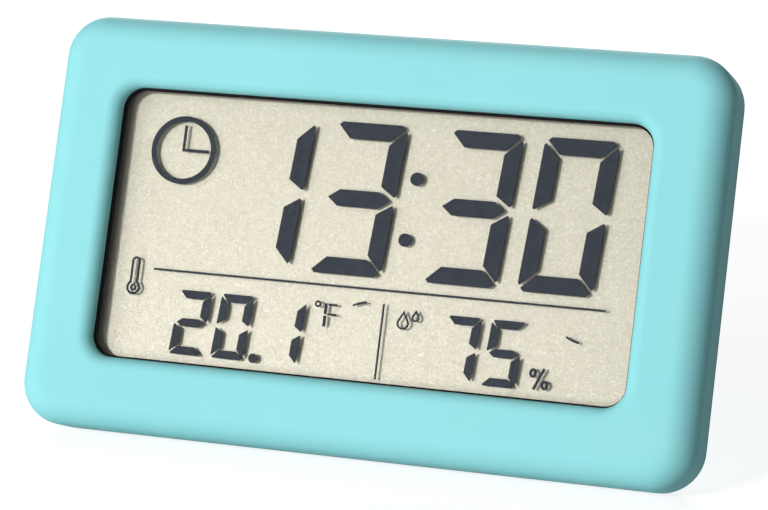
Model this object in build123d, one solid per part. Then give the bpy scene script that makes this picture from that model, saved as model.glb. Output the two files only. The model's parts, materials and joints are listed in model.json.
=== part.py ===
from build123d import *
from math import cos, radians, sin, sqrt, tan
import os

# Thermometer hygrometer clock in a slim plastic case that leans back on a fold-out leg.
# Each piece is drawn with the case upright: X runs to the reader's right, Y from the front
# face to the back and Z up from the case's lower side. The whole clock is then leaned back.
# Lengths are millimetres and angles are degrees. A share is a part of another named size.

# Case
case_width = 96.0
case_height = 58.0
case_depth = 12.0
corner_radius = 6.0
front_edge_radius = 4.0
rear_edge_radius = 3.0
lean_angle = 22.5
shell_wall = 1.8
front_wall = 2.0
rear_wall = 1.6
cover_depth = 3.0
seam_groove = 0.15
least_radius = 0.3
cut_overrun = 1.0

# Window in the front
frame_width = 10.0
window_corner_radius = 3.1
window_lip_radius = 1.8

# Display stack, from the front
lens_thickness = 0.6
gasket_thickness = 0.3
gasket_inset = 0.3
polariser_thickness = 0.15
polariser_inset = 0.4
front_glass_thickness = 0.55
cell_gap = 0.1
seal_width = 0.8
rear_glass_thickness = 0.7
reflector_thickness = 0.1
glass_side_lap = 1.6
glass_top_lap = 1.5
ledge_height = 2.5
glass_corner_radius = 0.8
pocket_clearance = 0.15
pocket_rib = 1.0

# Circuit board
board_thickness = 1.0
board_side_gap = 3.2
board_foot_drop = 1.2
board_contact_margin = 2.4
board_post_gap = 1.6
board_wing_below_top = 9.0
board_wing_width = 24.0
board_corner_radius = 0.8
board_hole_clearance = 0.25

# Conductive strip and backing foam
zebra_side_inset = 2.6
zebra_height = 1.6
zebra_inset = 0.4
foam_side_inset = 5.6
foam_height = 3.0
foam_top_inset = 0.5

# Screws
screw_radius = 1.0
screw_head_radius = 1.9
screw_head_height = 1.2
screw_hole_clearance = 0.15
thread_clearance = 0.03
screw_tip_room = 0.5
case_screw_length = 6.5
board_screw_length = 4.0
screw_inset = 5.5
board_screw_inset = 5.0
board_screw_low = 12.0
board_screw_below_edge = 4.0
post_radius = 2.3
cover_post_radius = 2.9
counterbore_depth = 1.4
counterbore_clearance = 0.3
board_screw_head_gap = 0.15
driver_slot_width = 0.4
driver_slot_length = 2.0
driver_slot_depth = 0.6

# Rear cover
tongue_length = 1.0
tongue_thickness = 0.8
tongue_clearance = 0.15

# Leg and its pocket
leg_thickness = 2.0
leg_angle = 35.0
leg_barrel_radius = 1.2
leg_axis_inset = 1.4
leg_door_gap = 1.5
leg_keyhole_gap = 0.36
leg_side_gap = 0.3
leg_pin_radius = 0.8
leg_pin_reach = 1.0
leg_pin_clearance = 0.05
leg_floor_gap = 0.2
leg_stop_gap = 0.03
leg_top_gap = 0.35
leg_corner_radius = 3.0
leg_panel_margin = 3.0
leg_panel_depth = 0.4
leg_ridge_height = 0.3
leg_ridge_width = 0.6
leg_ridge_pitch = 1.6
leg_ridge_count = 3
leg_foot_gap = 0.45
leg_pocket_wall = 1.6
leg_pocket_floor = 1.0

# Cell, its well and its contacts
cell_radius = 10.0
cell_cap_inset = 1.4
cell_cap_height = 0.4
cell_edge_radius = 0.25
cell_door_gap = 0.2
well_clearance = 0.4
well_wall = 1.0
well_floor = 0.7
well_dip = 0.4
well_board_gap = 0.5
leaf_thickness = 0.25
leaf_width = 3.0
leaf_slot_clearance = 0.3
leaf_foot_length = 2.6
side_contact_width = 4.0
side_contact_foot = 3.6

# Battery door
door_thickness = 1.15
door_seat_gap = 0.05
door_side_lap = 2.2
door_foot_lap = 2.2
door_top_lap = 1.6
door_side_gap = 0.2
door_axis_inset = 1.0
door_barrel_radius = 0.8
door_pin_radius = 0.5
door_pin_reach = 0.9
door_pin_clearance = 0.05
door_hinge_gap = 0.3
door_swing_gap = 0.25
door_hinge_wall = 0.9
door_corner_radius = 1.5
door_notch_radius = 1.4
door_notch_dish = 3.5
door_dish_depth = 0.7

# Buttons and their switches
button_side_inset = 17.0
button_radius = 2.2
button_proud = 0.5
button_edge_radius = 0.4
button_flange_radius = 3.0
button_flange_thickness = 0.5
button_flange_gap = 0.15
button_hole_clearance = 0.2
button_travel = 0.3
switch_side = 4.2
switch_height = 1.5
plunger_radius = 1.0
plunger_clearance = 0.05
plunger_depth = 0.75
plunger_room = 0.15

# Keyhole hanger
keyhole_top_gap = 1.4
keyhole_radius = 3.6
keyhole_slot_half = 1.8
keyhole_rise = 5.5
keyhole_head_room = 0.4
keyhole_pocket_wall = 0.8
keyhole_foam_gap = 0.2
keyhole_board_gap = 0.5

# Air slots
vent_count = 6
vent_width = 1.2
vent_height = 8.0
vent_pitch = 2.8
vent_below_top = 13.0

# Parts on the board
chip_radius = 4.2
chip_height = 1.2
chip_level = 23.0
crystal_radius = 1.0
crystal_length = 6.0
crystal_level = 12.5
small_part_length = 1.6
small_part_width = 0.8
small_part_height = 0.6
small_part_pitch = 2.4
small_part_columns = 4
small_part_rows = 2
small_part_level = 32.5
sensor_side = 3.0
sensor_height = 1.2
sensor_port_radius = 0.5
sensor_offset = 6.0
bead_radius = 0.9
sensor_below_wing_top = 3.5

# Digits and signs on the display, placed from the middle of the window. They are drawn for a
# window of the size named first, and the whole drawing shrinks or grows with the real window.
drawn_window_width = 76.0
drawn_window_height = 38.0
digit_slant = 4.3
time_digit_width = 10.4
time_digit_height = 21.1
time_digit_stroke = 2.33
time_digit_gap = 0.42
time_digit_cut = 0.45
time_digit_tip = 0.25
time_waist_gap = 0.57
time_digit_pitch = 13.3
time_pair_pitch = 29.65
time_row_height = 6.09
time_middle = 5.62
colon_radius = 0.92
colon_half_pitch = 4.22
colon_middle = -0.54
colon_level = 5.25

small_digit_width = 4.75
small_digit_height = 8.96
small_digit_stroke = 1.14
small_digit_gap = 0.2
small_digit_cut = 0.2
small_digit_tip = 0.12
small_waist_gap = 0.25
small_row_height = -13.05
small_digit_pitch = 6.2
temperature_start = -24.6
temperature_step = 7.68
humidity_start = 14.15
point_radius = 0.66
point_place = -14.85
point_level = -17.04

line_width = 0.27
row_line_level = -6.04
row_line_start = -31.0
row_line_end = 33.6
column_line_place = 2.93
column_line_top = -7.92
column_line_foot = -18.2

ring_radius = 4.8
ring_stroke = 0.75
ring_place = -28.92
ring_level = 10.89
hand_width = 0.4
hand_rise = 3.5
hand_reach = 3.8

bulb_radius = 1.02
bulb_stroke = 0.31
bulb_place = -33.75
bulb_level = -8.88
stem_half_width = 0.64
stem_rise = 4.34
bulb_core_radius = 0.46
bulb_core_stroke = 0.25

degree_radius = 0.47
degree_stroke = 0.26
degree_place = -6.43
degree_level = -8.72
letter_place = -5.25
letter_top = -8.55
letter_height = 3.2
letter_width = 1.7
letter_stroke = 0.42
letter_bar = 0.28
letter_gap = 0.2

large_drop_radius = 0.87
large_drop_tip = 1.75
large_drop_place = 5.89
large_drop_level = -10.28
small_drop_radius = 0.56
small_drop_tip = 1.1
small_drop_place = 7.6
small_drop_level = -9.4
drop_stroke = 0.27

percent_place = 25.6
percent_level = -15.93
percent_half_height = 1.44
percent_slash_lean = 0.62
percent_stroke = 0.38
percent_ring_half_width = 0.53
percent_ring_half_height = 0.65
percent_ring_offset = 0.87
percent_ring_rise = 0.75

tick_stroke = 0.31
left_tick_place = -0.5
left_tick_level = -8.2
left_tick_reach = 0.95
left_tick_rise = 0.3
right_tick_place = 29.55
right_tick_level = -10.3
right_tick_reach = 0.9
right_tick_rise = 0.33
tick_sag = 0.08

# Where the inner parts lie between the pieces beside them, and the leg's narrower foot
board_place_share = 13 / 17
cell_place_share = 0.605
cell_level_share = 0.45
chip_place_share = 0.41
leg_foot_share = 0.73
first_button_share = 0.225
button_pitch_share = 0.155

# How steeply a side stroke runs in towards the waist, and how far the middle stroke's tips reach
waist_rise_share = 0.66
middle_tip_share = 0.66

# Which of a digit's seven strokes are lit, from the top stroke clockwise, the middle one last
lit_strokes = {
    "0": "abcdef",
    "1": "bc",
    "2": "abged",
    "3": "abgcd",
    "5": "afgcd",
    "7": "abc",
}

# Places that follow from the sizes above
mid_height = case_height / 2
half_width = case_width / 2
seam_depth = case_depth - cover_depth
cover_inner = case_depth - rear_wall
window_width = case_width - 2 * frame_width
window_height = case_height - 2 * frame_width
lens_back = front_wall + lens_thickness
gasket_back = lens_back + gasket_thickness
front_polariser_back = gasket_back + polariser_thickness
front_glass_back = front_polariser_back + front_glass_thickness
cell_back = front_glass_back + cell_gap
rear_glass_back = cell_back + rear_glass_thickness
rear_polariser_back = rear_glass_back + polariser_thickness
reflector_back = rear_polariser_back + reflector_thickness
glass_half_width = window_width / 2 + glass_side_lap
glass_top = mid_height + window_height / 2 + glass_top_lap
rear_glass_foot = mid_height - window_height / 2 - glass_top_lap
front_glass_foot = rear_glass_foot - ledge_height
display_scale = min(window_width / drawn_window_width, window_height / drawn_window_height)
cover_wall_inset = shell_wall + tongue_clearance + tongue_thickness

# The keyhole hangs under the case's top, and the leg's hinge lies under the keyhole
keyhole_reach = keyhole_radius + keyhole_head_room + keyhole_pocket_wall
keyhole_height = case_height - shell_wall - keyhole_top_gap - keyhole_reach - keyhole_rise
leg_half_thickness = leg_thickness / 2
leg_axis_depth = case_depth - leg_axis_inset
leg_pocket_bottom = leg_axis_depth - leg_barrel_radius - leg_floor_gap
leg_block_front = leg_pocket_bottom - leg_pocket_floor
leg_stop_reach = leg_axis_depth - leg_pocket_bottom - leg_stop_gap
leg_heel = (leg_stop_reach - leg_half_thickness * cos(radians(leg_angle))) / sin(radians(leg_angle))
leg_pocket_top = keyhole_height - keyhole_reach - leg_keyhole_gap - leg_pocket_wall
leg_axis_height = leg_pocket_top - leg_top_gap - sqrt(leg_heel ** 2 + leg_half_thickness ** 2)

# The board lies between the display and the leg's pocket, and the cell's well dips through it
board_depth = reflector_back + board_place_share * (leg_block_front - board_thickness - reflector_back)
board_back = board_depth + board_thickness
well_bottom = board_back - well_dip
well_radius = cell_radius + well_clearance
well_outer = well_radius + well_wall
door_inner = case_depth - door_thickness
door_seat = door_inner - door_seat_gap
cell_front = well_bottom + leaf_thickness
cell_rear = door_inner - cell_door_gap
cell_place = half_width * cell_place_share
cell_height = case_height * cell_level_share
door_half_width = well_radius + door_side_lap
door_axis_depth = case_depth - door_axis_inset
door_axis_height = cell_height - well_radius - door_foot_lap
door_top = cell_height + well_radius + door_top_lap
door_plate_reach = sqrt((case_depth - door_axis_depth) ** 2 + door_barrel_radius ** 2)
door_block_half = door_half_width + door_side_gap + door_pin_reach + door_hinge_wall

# The leg fills the room between the middle and the door's hinge
leg_pocket_half_width = cell_place - door_block_half - leg_door_gap - leg_pocket_wall
leg_half_width = leg_pocket_half_width - leg_side_gap
leg_foot_half_width = leg_half_width * leg_foot_share

board_foot = front_glass_foot - board_foot_drop
board_waist = screw_inset + post_radius + board_post_gap
board_top = cell_height + cell_radius + side_contact_foot + board_contact_margin
board_wing_top = case_height - board_wing_below_top
board_screw_high = board_top - board_screw_below_edge
keyhole_room_front = board_depth + keyhole_foam_gap + keyhole_pocket_wall
button_place = -(half_width - button_side_inset)
button_levels = {}
for index, name in enumerate(("set", "up", "unit")):
    button_levels[name] = case_height * (first_button_share + index * button_pitch_share)
flange_back = cover_inner - button_flange_gap
flange_front = flange_back - button_flange_thickness
wing_middle = button_place
chip_room_start = leg_pocket_half_width + leg_pocket_wall
chip_room_end = -button_place - switch_side / 2
chip_from_middle = chip_room_start + chip_place_share * (chip_room_end - chip_room_start)


def leaned(depth, height):
    """Where a point of the upright case lies once it leans: back along Y, and up."""
    back = depth * cos(radians(lean_angle)) + height * sin(radians(lean_angle))
    up = height * cos(radians(lean_angle)) - depth * sin(radians(lean_angle))
    return back, up


# The case stands on its rounded lower rear edge, and the leg's round foot meets the same floor
floor_drop = leaned(case_depth - rear_edge_radius, rear_edge_radius)[1] - rear_edge_radius
leg_axis_back, leg_axis_up = leaned(leg_axis_depth, leg_axis_height)
leg_length = (leg_axis_up - floor_drop - leg_half_thickness) / cos(radians(leg_angle - lean_angle))
foot_back = leg_axis_back + leg_length * sin(radians(leg_angle - lean_angle)) + leg_half_thickness
leg_pocket_foot = leg_axis_height - leg_length - leg_half_thickness - leg_foot_gap
case_front = leaned(front_edge_radius, front_edge_radius)[0] - front_edge_radius
case_rear = leaned(case_depth - rear_edge_radius, case_height - rear_edge_radius)[0] + rear_edge_radius
middle_back = (case_front + max(case_rear, foot_back)) / 2


def prism(outline, front, back):
    """An outline drawn in X and Z, carried from one depth to another."""
    plane = Plane(origin=(0, back, 0), x_dir=(1, 0, 0), z_dir=(0, -1, 0))
    return extrude(plane * outline, amount=back - front, dir=(0, -1, 0))


def span(left, right, low, high):
    """A plain rectangle between two sides and two levels."""
    return Pos((left + right) / 2, (low + high) / 2) * Rectangle(right - left, high - low)


def soft_span(left, right, low, high, radius):
    """A rectangle between two sides and two levels, with round corners."""
    return Pos((left + right) / 2, (low + high) / 2) * RectangleRounded(right - left, high - low, radius)


def disc(place, level, radius):
    return Pos(place, level) * Circle(radius)


def case_outline(inset):
    """The case's front view, drawn in by an inset."""
    radius = max(corner_radius - inset, least_radius)
    outline = RectangleRounded(case_width - 2 * inset, case_height - 2 * inset, radius)
    return Pos(0, mid_height) * outline


def window_outline(inset):
    radius = max(window_corner_radius - inset, least_radius)
    outline = RectangleRounded(window_width - 2 * inset, window_height - 2 * inset, radius)
    return Pos(0, mid_height) * outline


def glass_outline(growth, foot):
    """The display glass's outline, grown all round, down to a chosen foot."""
    side = glass_half_width + growth
    return soft_span(-side, side, foot - growth, glass_top + growth, glass_corner_radius)


def film_outline():
    """A polariser or the reflector, a little smaller than the rear glass."""
    side = glass_half_width - polariser_inset
    low = rear_glass_foot + polariser_inset
    return span(-side, side, low, glass_top - polariser_inset)


def rod(place, depth, height, radius, length):
    """A round rod along X, centred on a place."""
    return Pos(place, depth, height) * Rot(0, 90, 0) * Cylinder(radius, length)


def case_screw_places():
    side = half_width - screw_inset
    levels = (screw_inset, case_height - screw_inset)
    return [(x, z) for x in (-side, side) for z in levels]


def board_screw_places():
    side = half_width - board_screw_inset
    return [(x, z) for x in (-side, side) for z in (board_screw_low, board_screw_high)]


def case_body():
    """The whole soft-edged block of the case, before it is parted at the seam."""
    body = prism(case_outline(0), 0, case_depth)
    body = fillet(body.faces().sort_by(Axis.Y)[0].edges(), front_edge_radius)
    body = fillet(body.faces().sort_by(Axis.Y)[-1].edges(), rear_edge_radius)
    groove_front = seam_depth - seam_groove
    groove_back = seam_depth + seam_groove
    band = prism(case_outline(-cut_overrun), groove_front, groove_back)
    return body - (band - prism(case_outline(seam_groove), groove_front, groove_back))


def make_front_bezel():
    """Front shell: soft frame round the window, glass pocket and screw posts inside."""
    shell = case_body() & prism(case_outline(-cut_overrun), -cut_overrun, seam_depth)
    cavity = prism(case_outline(shell_wall), front_wall, seam_depth + cut_overrun)
    inner_radius = max(front_edge_radius - shell_wall, least_radius)
    cavity = fillet(cavity.faces().sort_by(Axis.Y)[0].edges(), inner_radius)
    window = prism(window_outline(0), -cut_overrun, front_wall + cut_overrun)
    shell = shell - cavity - window
    front_face = shell.faces().filter_by(GeomType.PLANE).sort_by(Axis.Y)[0]
    lip_edges = front_face.inner_wires()[0].edges()
    shell = fillet(lip_edges, min(window_lip_radius, front_wall - seam_groove))

    rib = prism(glass_outline(pocket_clearance + pocket_rib, front_glass_foot), front_wall, reflector_back)
    pocket = prism(glass_outline(pocket_clearance, front_glass_foot), front_wall, reflector_back)
    shell = shell + (rib - pocket)
    for place, level in case_screw_places():
        post = prism(disc(place, level, post_radius), front_wall, seam_depth)
        shell = shell + (post - pocket)
    for place, level in board_screw_places():
        post = prism(disc(place, level, post_radius), front_wall, board_depth)
        shell = shell + (post - pocket)
    for place, level in case_screw_places():
        tip = case_depth - counterbore_depth - case_screw_length - screw_tip_room
        pilot = disc(place, level, screw_radius + thread_clearance)
        shell = shell - prism(pilot, tip, seam_depth + cut_overrun)
    for place, level in board_screw_places():
        tip = board_back - board_screw_length - screw_tip_room
        pilot = disc(place, level, screw_radius + thread_clearance)
        shell = shell - prism(pilot, tip, board_depth + cut_overrun)
    return shell


def make_window_lens():
    return prism(glass_outline(0, front_glass_foot), front_wall, lens_back)


def make_display_gasket():
    """Black foam frame whose opening shows just inside the window."""
    sheet = prism(glass_outline(0, front_glass_foot), lens_back, gasket_back)
    return sheet - prism(window_outline(gasket_inset), lens_back - cut_overrun, gasket_back + cut_overrun)


def make_lcd_seal():
    """Glue line between the two glasses, round the liquid crystal."""
    outer = glass_outline(0, rear_glass_foot)
    side = glass_half_width - seal_width
    inner = span(-side, side, rear_glass_foot + seal_width, glass_top - seal_width)
    return prism(outer, front_glass_back, cell_back) - prism(inner, lens_back, reflector_back)


def display_solid(outline):
    """A lit shape of the display, in the gap between the two glasses."""
    drawn = scale(outline, by=display_scale, about=(0, 0, 0))
    return prism(Pos(0, mid_height) * drawn, front_glass_back, cell_back)


def stroke_outlines(width, height, stroke, gap, cut, tip, waist):
    """The seven strokes of an upright digit, as point lists about its middle."""
    side = width / 2
    top = height / 2
    inner = side - stroke
    corner_step = gap * sqrt(2)
    high = top - stroke - corner_step
    bevel = stroke - tip
    rise = waist + bevel * waist_rise_share
    bar_tip = side - cut
    bar_end = inner + stroke * middle_tip_share
    top_bar = [(-bar_tip + cut, top), (bar_tip - cut, top), (bar_tip, top - cut)]
    top_bar += [(inner, top - stroke), (-inner, top - stroke), (-bar_tip, top - cut)]
    upper = [(inner, high), (side - tip, high + bevel), (side, high + bevel - tip)]
    upper += [(side, waist + tip), (side - tip, waist), (inner, rise)]
    half = stroke / 2
    middle = [(-bar_end, 0), (-inner, half), (inner, half), (bar_end, 0), (inner, -half), (-inner, -half)]
    return {
        "a": top_bar,
        "b": upper,
        "c": [(x, -z) for x, z in upper],
        "d": [(x, -z) for x, z in top_bar],
        "e": [(-x, -z) for x, z in upper],
        "f": [(-x, z) for x, z in upper],
        "g": middle,
    }


def digit_solids(text, place, level, style):
    """One slanted digit, each lit stroke a thin solid."""
    strokes = stroke_outlines(**style)
    lean = tan(radians(digit_slant))
    solids = []
    for name in lit_strokes[text]:
        points = [(place + x + z * lean, level + z) for x, z in strokes[name]]
        solids.append(display_solid(Polygon(*points, align=None)))
    return solids


def ring_outline(place, level, radius, stroke):
    return disc(place, level, radius) - disc(place, level, radius - stroke)


def line_outline(start, end, width):
    """A straight stroke with square ends between two points."""
    run = end[0] - start[0]
    climb = end[1] - start[1]
    length = sqrt(run ** 2 + climb ** 2)
    half = width / 2
    across = (-climb / length * half, run / length * half)
    points = [
        (start[0] + across[0], start[1] + across[1]),
        (start[0] - across[0], start[1] - across[1]),
        (end[0] - across[0], end[1] - across[1]),
        (end[0] + across[0], end[1] + across[1]),
    ]
    return Polygon(*points, align=None)


def make_time_segments():
    """Four large digits and the colon's two dots."""
    style = dict(
        width=time_digit_width,
        height=time_digit_height,
        stroke=time_digit_stroke,
        gap=time_digit_gap,
        cut=time_digit_cut,
        tip=time_digit_tip,
        waist=time_waist_gap,
    )
    minute_ten = time_middle + (time_pair_pitch - time_digit_pitch) / 2
    hour_unit = time_middle - (time_pair_pitch - time_digit_pitch) / 2
    places = [hour_unit - time_digit_pitch, hour_unit, minute_ten, minute_ten + time_digit_pitch]
    solids = []
    for text, place in zip("1330", places):
        solids += digit_solids(text, place, time_row_height, style)
    lean = tan(radians(digit_slant))
    for level in (colon_half_pitch, -colon_half_pitch):
        place = time_middle + colon_middle + level * lean
        solids.append(display_solid(disc(place, colon_level + level, colon_radius)))
    return solids


def small_digit_style():
    return dict(
        width=small_digit_width,
        height=small_digit_height,
        stroke=small_digit_stroke,
        gap=small_digit_gap,
        cut=small_digit_cut,
        tip=small_digit_tip,
        waist=small_waist_gap,
    )


def make_temperature_segments():
    """Three small digits, the decimal point, the degree ring and the scale's letter."""
    tens = temperature_start
    units = tens + small_digit_pitch
    tenths = units + temperature_step
    solids = []
    for text, place in zip("201", (tens, units, tenths)):
        solids += digit_solids(text, place, small_row_height, small_digit_style())
    solids.append(display_solid(disc(point_place, point_level, point_radius)))
    solids.append(display_solid(ring_outline(degree_place, degree_level, degree_radius, degree_stroke)))
    stem_half = letter_stroke / 2
    left = letter_place - stem_half
    right = letter_place + stem_half
    middle = letter_top - letter_height / 2
    foot = letter_top - letter_height
    solids.append(display_solid(span(left, right, middle + letter_gap / 2, letter_top)))
    solids.append(display_solid(span(left, right, foot, middle - letter_gap / 2)))
    bar_start = right + letter_gap / 2
    bar_end = bar_start + letter_width - letter_stroke
    for level in (letter_top - letter_bar, middle + letter_gap / 2 - letter_bar / 2):
        solids.append(display_solid(span(bar_start, bar_end, level, level + letter_bar)))
    return solids


def make_humidity_segments():
    """Two small digits and the per cent sign."""
    solids = []
    for text, place in zip("75", (humidity_start, humidity_start + small_digit_pitch)):
        solids += digit_solids(text, place, small_row_height, small_digit_style())
    start = (percent_place - percent_slash_lean, percent_level - percent_half_height)
    end = (percent_place + percent_slash_lean, percent_level + percent_half_height)
    solids.append(display_solid(line_outline(start, end, percent_stroke)))
    for side in (-1, 1):
        place = percent_place + side * percent_ring_offset
        level = percent_level - side * percent_ring_rise
        outer = Pos(place, level) * Ellipse(percent_ring_half_width, percent_ring_half_height)
        inner_width = percent_ring_half_width - percent_stroke
        inner = Pos(place, level) * Ellipse(inner_width, percent_ring_half_height - percent_stroke)
        solids.append(display_solid(outer - inner))
    return solids


def drop_outline(place, level, radius, tip):
    """A water drop: a round bulb and two straight sides that touch it and meet at the tip."""
    height = radius ** 2 / tip
    reach = radius * sqrt(1 - (radius / tip) ** 2)
    corners = [(place, level + tip), (place - reach, level + height), (place + reach, level + height)]
    sides = Polygon(*corners, align=None)
    return disc(place, level, radius) + sides


def drop_ring(place, level, radius, tip):
    inner = radius - drop_stroke
    return drop_outline(place, level, radius, tip) - drop_outline(place, level, inner, tip * inner / radius)


def thermometer_outline(inset):
    """A stem with a round top that runs into a round bulb."""
    half = stem_half_width - inset
    top = bulb_level + stem_rise - stem_half_width
    stem = span(bulb_place - half, bulb_place + half, bulb_level, top)
    return stem + disc(bulb_place, top, half) + disc(bulb_place, bulb_level, bulb_radius - inset)


def tick_outline(place, level, reach, rise):
    """A short bent stroke, drawn as an arc between its two ends."""
    half = tick_stroke / 2
    upper = ThreePointArc(
        (place - reach, level - rise + half),
        (place, level + half + tick_sag * abs(rise) / rise),
        (place + reach, level + rise + half),
    )
    lower = ThreePointArc(
        (place + reach, level + rise - half),
        (place, level - half + tick_sag * abs(rise) / rise),
        (place - reach, level - rise - half),
    )
    joins = [Line(upper @ 1, lower @ 0), Line(lower @ 1, upper @ 0)]
    return make_face([upper, joins[0], lower, joins[1]])


def make_lcd_icons():
    """Clock ring with its hands, thermometer, two drops, the separator lines and two ticks."""
    solids = [display_solid(ring_outline(ring_place, ring_level, ring_radius, ring_stroke))]
    half = hand_width / 2
    hour_hand = span(ring_place - half, ring_place + half, ring_level - half, ring_level + hand_rise)
    minute_hand = span(ring_place - half, ring_place + hand_reach, ring_level - half, ring_level + half)
    solids.append(display_solid(hour_hand + minute_hand))
    solids.append(display_solid(thermometer_outline(0) - thermometer_outline(bulb_stroke)))
    core = ring_outline(bulb_place, bulb_level, bulb_core_radius, bulb_core_stroke)
    solids.append(display_solid(core))
    large_drop = drop_ring(large_drop_place, large_drop_level, large_drop_radius, large_drop_tip)
    small_drop = drop_ring(small_drop_place, small_drop_level, small_drop_radius, small_drop_tip)
    solids.append(display_solid(large_drop))
    solids.append(display_solid(small_drop))
    row_half = line_width / 2
    row = span(row_line_start, row_line_end, row_line_level - row_half, row_line_level + row_half)
    column_left = column_line_place - row_half
    column = span(column_left, column_left + line_width, column_line_foot, column_line_top)
    solids.append(display_solid(row))
    solids.append(display_solid(column))
    left_tick = tick_outline(left_tick_place, left_tick_level, left_tick_reach, left_tick_rise)
    right_tick = tick_outline(right_tick_place, right_tick_level, right_tick_reach, -right_tick_rise)
    solids.append(display_solid(left_tick))
    solids.append(display_solid(right_tick))
    return solids


def make_zebra_connector():
    """Striped rubber bar that carries the signals from the board to the glass ledge."""
    low = front_glass_foot + zebra_inset
    side = glass_half_width - zebra_side_inset
    outline = span(-side, side, low, low + zebra_height)
    return prism(outline, front_glass_back, board_depth)


def make_backing_foam():
    high = board_top - foam_top_inset
    side = glass_half_width - foam_side_inset
    outline = span(-side, side, high - foam_height, high)
    return prism(outline, reflector_back, board_depth)


def board_outline():
    """Board with a lower tab under the display, a wing beside the air slots and its cut-outs."""
    side = half_width - board_side_gap
    tab = half_width - screw_inset - post_radius - board_post_gap
    outline = soft_span(-side, side, board_waist, board_top, board_corner_radius)
    outline += span(-tab, tab, board_foot, board_waist + board_corner_radius)
    outline += soft_span(-side, -side + board_wing_width, board_waist, board_wing_top, board_corner_radius)
    outline -= disc(cell_place, cell_height, well_outer + well_board_gap)
    notch = keyhole_reach + keyhole_board_gap
    outline -= span(-notch, notch, keyhole_height - notch, board_wing_top)
    for place, level in board_screw_places():
        outline -= disc(place, level, screw_radius + board_hole_clearance)
    return outline


def make_circuit_board():
    return prism(board_outline(), board_depth, board_back)


def make_chip_blob():
    """Resin dome over the clock chip: the cap of a ball."""
    ball = (chip_radius ** 2 + chip_height ** 2) / (2 * chip_height)
    centre = board_back + chip_height - ball
    dome = Pos(-chip_from_middle, centre, chip_level) * Sphere(ball)
    return dome & prism(disc(-chip_from_middle, chip_level, ball), board_back, board_back + chip_height * 2)


def make_clock_crystal():
    """Small metal can of the watch crystal, lying along X on the board."""
    return rod(-chip_from_middle, board_back + crystal_radius, crystal_level, crystal_radius, crystal_length)


def make_chip_components():
    """Two short rows of chip resistors and capacitors."""
    solids = []
    for row in range(small_part_rows):
        for column in range(small_part_columns):
            place = -chip_from_middle + (column - (small_part_columns - 1) / 2) * small_part_pitch
            level = small_part_level + row * small_part_pitch
            half_length = small_part_width / 2
            half_height = small_part_length / 2
            outline = span(place - half_length, place + half_length, level - half_height, level + half_height)
            solids.append(prism(outline, board_back, board_back + small_part_height))
    return solids


def sensor_level():
    return board_wing_top - sensor_below_wing_top


def make_humidity_sensor():
    place = wing_middle - sensor_offset / 2
    half = sensor_side / 2
    block = span(place - half, place + half, sensor_level() - half, sensor_level() + half)
    port = disc(place, sensor_level(), sensor_port_radius)
    top = board_back + sensor_height
    return prism(block, board_back, top) - prism(port, board_back + sensor_height / 2, top + cut_overrun)


def make_thermistor():
    """Small glass bead with a flat underside that sits on the board."""
    place = wing_middle + sensor_offset / 2
    bead = Pos(place, board_back + bead_radius / 2, sensor_level()) * Sphere(bead_radius)
    reach = 2 * bead_radius
    return bead & prism(disc(place, sensor_level(), reach), board_back, board_back + reach)


def make_button_switches():
    """Housings of the three push switches, each with the bore that guides its plunger."""
    half = switch_side / 2
    solids = []
    for level in button_levels.values():
        outline = span(button_place - half, button_place + half, level - half, level + half)
        housing = prism(outline, board_back, board_back + switch_height)
        bore_bottom = board_back + switch_height - plunger_depth - button_travel - plunger_room
        bore = disc(button_place, level, plunger_radius + plunger_clearance)
        solids.append(housing - prism(bore, bore_bottom, board_back + switch_height + cut_overrun))
    return solids


def make_switch_plunger(level):
    bottom = board_back + switch_height - plunger_depth
    return prism(disc(button_place, level, plunger_radius), bottom, flange_front)


def make_button_cap(level):
    """Round cap with the flange that keeps it inside the cover."""
    cap = prism(disc(button_place, level, button_radius), flange_front, case_depth + button_proud)
    cap = fillet(cap.faces().sort_by(Axis.Y)[-1].edges(), button_edge_radius)
    return cap + prism(disc(button_place, level, button_flange_radius), flange_front, flange_back)


def make_coin_cell():
    """Coin cell: the wide can to the back and the smaller cap to the front."""
    can = prism(disc(cell_place, cell_height, cell_radius), cell_front + cell_cap_height, cell_rear)
    can = fillet(can.faces().sort_by(Axis.Y)[0].edges(), cell_edge_radius)
    can = fillet(can.faces().sort_by(Axis.Y)[-1].edges(), cell_edge_radius)
    cap = disc(cell_place, cell_height, cell_radius - cell_cap_inset)
    return can + prism(cap, cell_front, cell_rear - cell_cap_height)


def make_negative_contact():
    """Leaf that comes off the board, through the well's side and under the cell."""
    half = leaf_width / 2
    low = cell_height - half
    high = cell_height + half
    hook = cell_place - well_outer - (well_board_gap + leaf_thickness) / 2
    under = prism(span(hook, cell_place, low, high), well_bottom, cell_front)
    riser = prism(span(hook, hook + leaf_thickness, low, high), well_bottom, board_back + leaf_thickness)
    foot_start = hook - leaf_foot_length
    foot = prism(span(foot_start, hook + leaf_thickness, low, high), board_back, board_back + leaf_thickness)
    return under + riser + foot


def make_positive_contact():
    """Strip that stands on the board above the well and touches the cell's side."""
    half = side_contact_width / 2
    left = cell_place - half
    right = cell_place + half
    touch = cell_height + cell_radius
    upright = prism(span(left, right, touch, touch + leaf_thickness), board_back, cell_rear)
    foot = prism(span(left, right, touch, touch + side_contact_foot), board_back, board_back + leaf_thickness)
    return upright + foot


def leg_pocket_block():
    """Inner wall and floor of the recess that takes the folded leg."""
    side = leg_pocket_half_width + leg_pocket_wall
    outline = span(-side, side, leg_pocket_foot, leg_pocket_top + leg_pocket_wall)
    return prism(outline, leg_block_front, cover_inner + seam_groove)


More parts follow.
